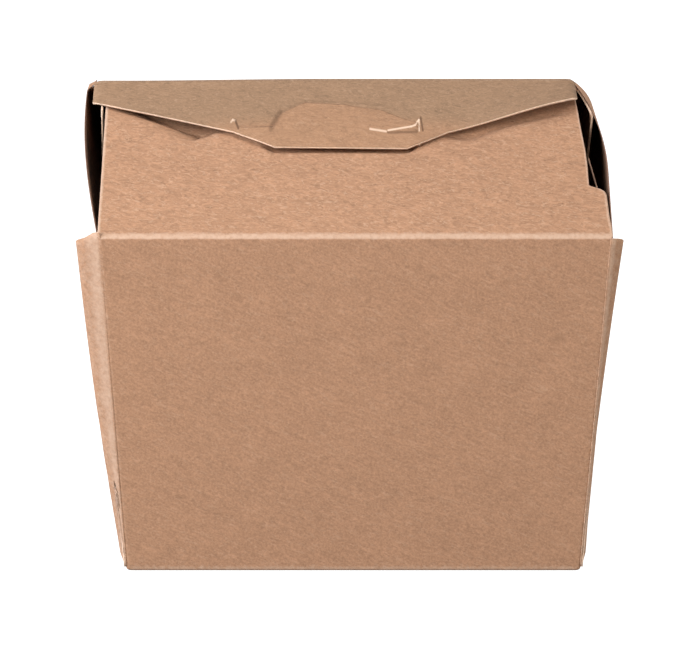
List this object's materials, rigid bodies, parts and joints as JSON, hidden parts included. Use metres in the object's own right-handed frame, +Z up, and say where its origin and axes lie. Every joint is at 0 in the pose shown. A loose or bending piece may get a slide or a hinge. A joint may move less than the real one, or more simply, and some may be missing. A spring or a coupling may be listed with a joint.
{
  "type": "noodle takeaway box",
  "caption": "Shut noodle takeaway box of plain brown paperboard: tapered tub, folded corner ears, and a low gable roof with a slotted lid and tongue.",
  "frame": {"origin": "on the surface that the box stands on, under the middle of its overall width and depth", "axes": "+X along the long rim, to the right seen from the front; +Y from the front towards the back; +Z up"},
  "size_m": [0.128, 0.092, 0.1129],
  "materials": {
    "brown_board": "plain brown unbleached paperboard, matt, with fine fibres and pale cut edges and creases"
  },
  "bodies": {
    "root": {"noodle_box": "brown_board"}
  },
  "joints": []
}
